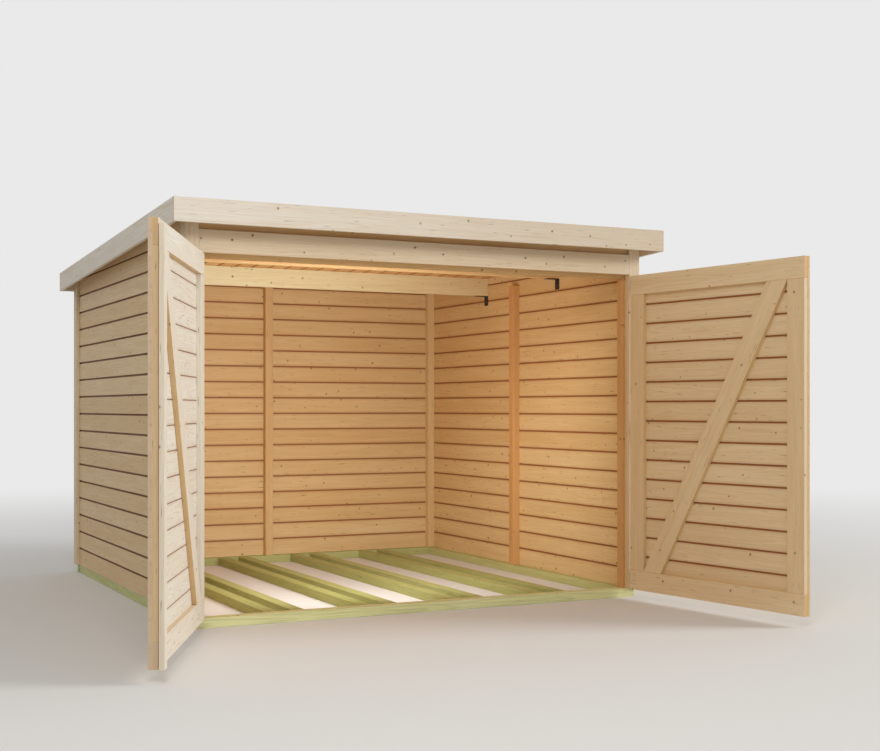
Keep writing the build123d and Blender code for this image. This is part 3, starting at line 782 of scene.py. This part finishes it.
sheets = [feltSheet(low, high, felting["thickness"] + felting["lapAir"] if i else 0)
          for i, (low, high) in enumerate(felting["rows"])]
addPiece("roof_felt_sheets", sheets, "shelter", "bitumen_felt", felt, "roof_felt")
print("felt laid")


# Screw, bolt and nail heads: an outline turned about its axis, copied to each place

def turnedHeads(places, normals, outline, around=8):
    # head n, ring r, point a lies at place + radius(r) (cos a U + sin a V) + height(r) normal
    places, normals = np.array(places, float), np.array(normals, float)
    if normals.ndim == 1:
        normals = np.repeat(normals[None], len(places), axis=0)
    aside = np.where(np.abs(normals[:, 2:]) > 0.9, xAxis[None], zAxis[None])
    u = np.cross(aside, normals)
    u /= np.linalg.norm(u, axis=1)[:, None]
    v = np.cross(normals, u)
    angle = np.linspace(0, 2 * math.pi, around, endpoint=False)
    wheel = np.cos(angle)[None, :, None] * u[:, None] + np.sin(angle)[None, :, None] * v[:, None]
    outline = np.array(outline)
    points = (places[:, None, None] + outline[None, :, :1, None] * wheel[:, None]
              + outline[None, :, 1:, None] * normals[:, None, None])
    return [ringsToMesh(head) for head in points]


def addHeads(name, heads, body="shelter", metal=galvanised):
    addPiece(name, heads, body, "galvanised_steel", metal)


# radius and height of each ring; a pin's head is 2.6 mm wide, lost sight of a few steps away
pinHead = [(0.0013, -0.0010), (0.0013, 0.0001), (0.0010, 0.0004), (0.0004, 0.0004)]
screwHead = [(0.0042, -0.0020), (0.0042, 0.0002), (0.0038, 0.0006), (0.0018, 0.0006), (0.0012, -0.0004)]
nailHead = [(0.0050, -0.0010), (0.0050, 0.0003), (0.0044, 0.0010), (0.0015, 0.0013)]
boltHead = [(0.0085, -0.0010), (0.0085, 0.0008), (0.0072, 0.0028), (0.0042, 0.0044), (0.0012, 0.0049)]

# Trims, fascias and lintel are pinned
pinning = {  # in metres; three numbers are first, last and how many
    "trimHeights": (0.12, 1.86, 6), "sideStep": 0.04, "sideY": (-0.010, 2.590),
    "fasciaY": (-0.10, 2.58, 6), "fasciaOffMiddle": (-0.032, 0.028),
    "eaveX": (-1.38, 1.38, 7), "eaveDrops": (0.032, 0.092),
    "lintelX": (-1.23, 1.23, 6), "lintelHeights": (0.028, 0.088),
}
pins = []
trimLow, trimHigh = nodeBox("front_right_corner_trim")
trimMiddleX = (trimLow[0] + wall["innerX"]) / 2
trimFaceY = wall["frontY"] - shed["trimThickness"]
lintelFoot = nodeBox("front_lintel")[0][2]
heights = np.linspace(*pinning["trimHeights"])
for side in (-1, 1):
    for y, facing in ((trimFaceY, -yAxis), (wall["rearY"] + shed["trimThickness"], yAxis)):
        pins += turnedHeads([(side * trimMiddleX, y, z) for z in heights], facing, pinHead)
    pins += turnedHeads([(side * trimHigh[0], y, z) for z in heights + pinning["sideStep"]
                         for y in pinning["sideY"]], xAxis * side, pinHead)
    edge = side * (deck["right"] + shed["fasciaThickness"])
    for y in np.linspace(*pinning["fasciaY"]):
        middle = fasciaTop(y) - shed["fasciaHeight"] / 2
        pins += turnedHeads([(edge, y, middle + h) for h in pinning["fasciaOffMiddle"]], xAxis * side,
                            pinHead)
pins += turnedHeads([(x, shed["eaveFrontY"], shed["eaveTop"] - drop)
                     for x in np.linspace(*pinning["eaveX"]) for drop in pinning["eaveDrops"]],
                    -yAxis, pinHead)
pins += turnedHeads([(x, trimFaceY, lintelFoot + h)
                     for x in np.linspace(*pinning["lintelX"]) for h in pinning["lintelHeights"]],
                    -yAxis, pinHead)
addHeads("shelter_pins", pins)

# Felt nails in a row above each sheet's lower edge
nailing = {"row": (-1.36, 1.37, 0.085), "aboveEdge": 0.025, "feltTop": 0.0072}  # row: from, to, spacing
nails = []
nailX = np.arange(*nailing["row"])[:, None] * xAxis
nailBase = deck["eave"] + rise * (shed["boardThickness"] + nailing["feltTop"])
for row in felting["rows"]:
    nails += turnedHeads(nailBase + nailX + (row[1] - nailing["aboveEdge"]) * slope, rise, nailHead)
addHeads("felt_nails", nails)

# Pins in the doors' frames and boards, bolts through the straps, screws in the plates on the posts
doorFixings = {
    "frameEnds": (0.030, 0.080), "frameHeights": (0.030, 0.082), "boardEnds": 0.055, "pinnedBoards": 15,
    "bolts": (0.060, 0.160, 0.300), "metal": 0.003, "plateFromPivot": 0.026,
    "plateX": (-0.010, 0.010), "plateZ": (-0.042, 0.042),
}
for side, body in ((-1, "left_door"), (1, "right_door")):
    along, outward, at = leafAxes(body, side)
    d, f, near, far = door, doorFixings, door["hingeEdge"], door["freeEdge"]
    (a, b), (low, high) = f["frameEnds"], f["frameHeights"]
    inside = [at(s, h, d["innerOut"]) for s in (near + a, near + b, far - b, far - a)
              for h in (d["bottom"] + low, d["bottom"] + high, d["top"] - high, d["top"] - low)]
    centres = [d["firstJoint"] + d["cover"] * (k + 0.5) for k in range(f["pinnedBoards"])]
    outside = [at(s, h, d["boardOut"]) for h in centres
               for s in (near + f["boardEnds"], far - f["boardEnds"])]
    pins = turnedHeads(inside, -outward, pinHead) + turnedHeads(outside, outward, pinHead)
    addHeads(body + "_pins", pins, body)

    middles = [d["bottom"] + h for h in (d["rail"] / 2, d["height"] / 2, d["height"] - d["rail"] / 2)]
    bolts = turnedHeads([at(s, h, d["boardOut"] + f["metal"]) for h in middles for s in f["bolts"]],
                        outward, boltHead, 14)
    addHeads(body + "_hinge_bolts", bolts, body)
    plateX = side * (abs(pivots[body][0][0]) + f["plateFromPivot"])
    plate = [(plateX + dx, trimFaceY - f["metal"], h + dz) for h in middles for dx in f["plateX"]
             for dz in f["plateZ"]]
    addHeads(body.replace("door", "post") + "_hinge_screws", turnedHeads(plate, -yAxis, screwHead, 10))

# Two screws in each bracket's leg on the wall and two in its seat under the purlin
bracket = {"metal": 0.0025, "legDrop": 0.040, "legSpread": (-0.014, 0.014), "seatInset": 0.060,
           "seatSpread": (-0.012, 0.012)}
screws = []
for node in ("front_purlin", "rear_purlin"):
    low, high = nodeBox(node)
    midY = (low[1] + high[1]) / 2
    for side in (-1, 1):
        leg = side * (wall["innerX"] - bracket["metal"])
        screws += turnedHeads([(leg, midY + dy, low[2] - bracket["legDrop"])
                               for dy in bracket["legSpread"]], -xAxis * side, screwHead, 10)
        seat = side * (wall["innerX"] - bracket["seatInset"])
        screws += turnedHeads([(seat, midY + dy, low[2] - bracket["metal"])
                               for dy in bracket["seatSpread"]], -zAxis, screwHead, 10)
addHeads("bracket_screws", screws, metal=screwSteel)
print("fixings made")

# CAD nodes whose shape is right keep it and take the real finish
keptNodes = {"left_post_hinges": galvanised, "right_post_hinges": galvanised,
             "left_door_hinges": galvanised, "right_door_hinges": galvanised, "purlin_brackets": blackCoat}
for node, material in keptNodes.items():
    mesh = frame["nodes"][node].data
    mesh.materials.clear()
    mesh.materials.append(material)


# Studio: pale floor that fades into a pale background, a broad key lamp to the right, a smaller one
# high in front to the left, and light through the doorway, so that the inside is seen
studio = {"floor": "#E2E0DC", "background": 0.82, "skyLight": 0.50, "floorFade": (2.0, 13.0),
          "floorHalf": 60.0, "floorPoints": 9, "floorDrop": 0.0004}
lamps = {  # watts, width, depth, place, point that it is aimed at
    "key": (1900.0, 7.0, 7.0, (16.0, -9.0, 9.0), (0, 0.5, 1.0)),
    "front": (102.0, 1.8, 1.8, (-3.0, -5.4, 4.8), (0.4, 0.0, 1.0)),
    "doorway": (25.0, 1.1, 1.0, (-0.28, 0.06, 1.00), (-0.22, 2.6, 0.92)),
}


def seenRays(tree):  # 1 for rays from the camera, from gloss and through glass, and 0 for light
    path = addNode(tree, "LightPath")
    seen = addNode(tree, "Math", {0: path.outputs["Is Camera Ray"], 1: path.outputs["Is Glossy Ray"]},
                   operation="ADD")
    seen = addNode(tree, "Math", {0: seen, 1: path.outputs["Is Transmission Ray"]}, operation="ADD",
                   use_clamp=True)
    return seen


def makeFloor():
    # one square grid at ground level; its colour turns into the background's away from the object
    count = studio["floorPoints"]
    g = np.linspace(-studio["floorHalf"], studio["floorHalf"], count)
    x, y = np.meshgrid(g, g, indexing="ij")
    verts = np.stack([x, y, 0 * x - studio["floorDrop"]], axis=-1).reshape(-1, 3)
    i, j = np.meshgrid(np.arange(count - 1) * count, np.arange(count - 1), indexing="ij")
    quads = np.stack([i + j, i + count + j, i + count + j + 1, i + j + 1], axis=-1)
    mesh = bpy.data.meshes.new("studio_floor")
    mesh.from_pydata(verts.tolist(), [], quads.reshape(-1, 4).tolist())
    material, tree = newMaterial("studio_floor_paint")
    place = addNode(tree, "TexCoord").outputs["Object"]
    far = addNode(tree, "VectorMath", {0: place}, operation="LENGTH")
    fade = addNode(tree, "MapRange", {"Value": far.outputs["Value"], "From Min": studio["floorFade"][0],
                                      "From Max": studio["floorFade"][1]}, interpolation_type="SMOOTHSTEP")
    share = addNode(tree, "Math", {0: fade, 1: seenRays(tree)}, operation="MULTIPLY")
    paint = addNode(tree, "BsdfPrincipled", {"Base Color": linear(studio["floor"]), "Roughness": 0.9})
    glow = addNode(tree, "Emission", {"Color": (1, 1, 1, 1), "Strength": studio["background"]})
    mixed = addNode(tree, "MixShader", {0: share, 1: paint, 2: glow})
    mesh.materials.append(finishMaterial(material, mixed))
    floor = bpy.data.objects.new("studio_floor", mesh)
    bpy.context.collection.objects.link(floor)
    floor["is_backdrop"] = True


def makeWorld():
    world = bpy.data.worlds.new("studio")
    bpy.context.scene.world = world
    world.use_nodes = True
    tree = world.node_tree
    tree.nodes.clear()
    sky, back = (addNode(tree, "Background", {"Color": (1, 1, 1, 1), "Strength": studio[key]})
                 for key in ("skyLight", "background"))
    mixed = addNode(tree, "MixShader", {0: seenRays(tree), 1: sky, 2: back})
    addNode(tree, "OutputWorld", {"Surface": mixed})


def addLamp(name, power, width, depth, place, target):
    light = bpy.data.lights.new(name, "AREA")
    light.shape = "RECTANGLE"
    light.energy, light.size, light.size_y = power, width, depth
    lamp = bpy.data.objects.new(name, light)
    bpy.context.collection.objects.link(lamp)
    lamp.visible_camera = False
    aim = np.array(target) - np.array(place)
    lamp.location = place
    lamp.rotation_euler = (math.atan2(math.hypot(aim[0], aim[1]), -aim[2]), 0,
                           math.atan2(aim[1], aim[0]) - math.pi / 2)


makeFloor()
makeWorld()
for name, lamp in lamps.items():
    addLamp(name, *lamp)

# Camera as the photograph was taken: level, standing off to the left, horizon a little below the middle
view = {"place": (-3.171, -6.535, 1.092), "turn": 26.46, "sensor": 36.0, "lens": 55.195,
        "horizonShift": 0.0369}
cameraData = bpy.data.cameras.new("camera")
cameraData.sensor_width = view["sensor"]
cameraData.lens = view["lens"]
cameraData.shift_y = view["horizonShift"]
camera = bpy.data.objects.new("camera", cameraData)
bpy.context.collection.objects.link(camera)
camera.location = view["place"]
camera.rotation_euler = (math.pi / 2, 0, -math.radians(view["turn"]))
bpy.context.scene.camera = camera
bpy.context.scene.view_settings.view_transform = "Standard"
print("studio and camera set")

low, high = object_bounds()
